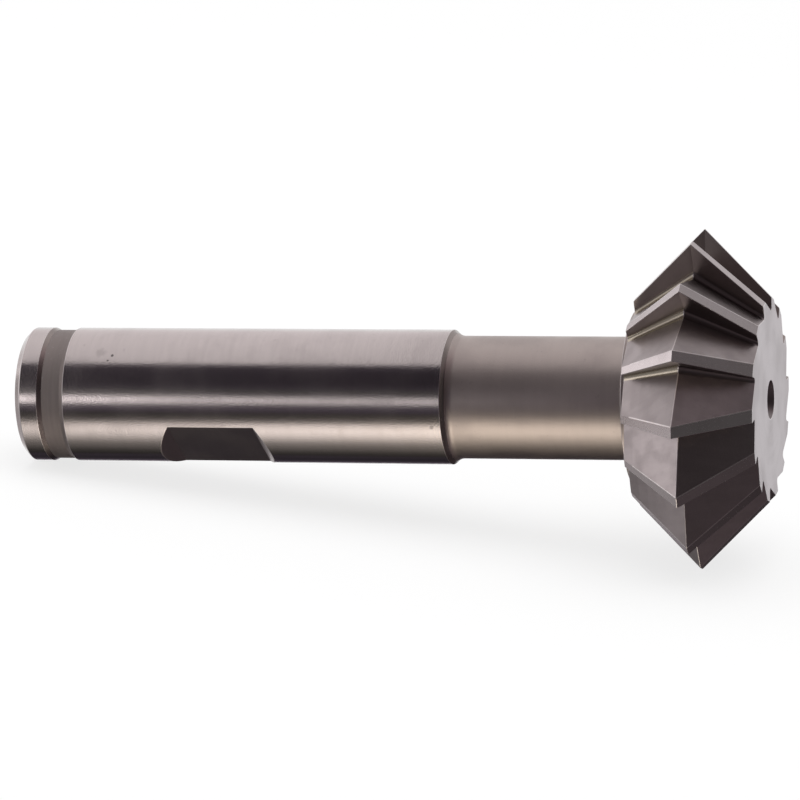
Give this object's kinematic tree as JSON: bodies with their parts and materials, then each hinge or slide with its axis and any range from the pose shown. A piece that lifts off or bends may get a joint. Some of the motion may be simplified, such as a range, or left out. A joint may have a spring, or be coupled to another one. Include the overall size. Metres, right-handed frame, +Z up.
{
  "type": "double-angle cutter",
  "caption": "Shank-type milling cutter with a round side-lock shank, a slimmer neck and a toothed head shaped as two 45 degree cones joined at their wide ends.",
  "frame": {"origin": "centre of the bounding box's bottom: the cutter lies on a flat surface at Z = 0, on two neighbouring teeth and on the rear rim of its shank", "axes": "the tool's axis lies in the XZ plane and points from the shank to the head along +X, tipped up by 8 degrees because the head is wider than the shank; +Z is up; the clamping flat faces -Y and down"},
  "size_m": [0.1152, 0.05, 0.0484],
  "materials": {
    "ground_tool_steel": "cylindrically ground bright shank, turned neck, dark milled tooth spaces with bright ground lands"
  },
  "bodies": {
    "root": {"double_angle_cutter": "ground_tool_steel"}
  },
  "joints": []
}
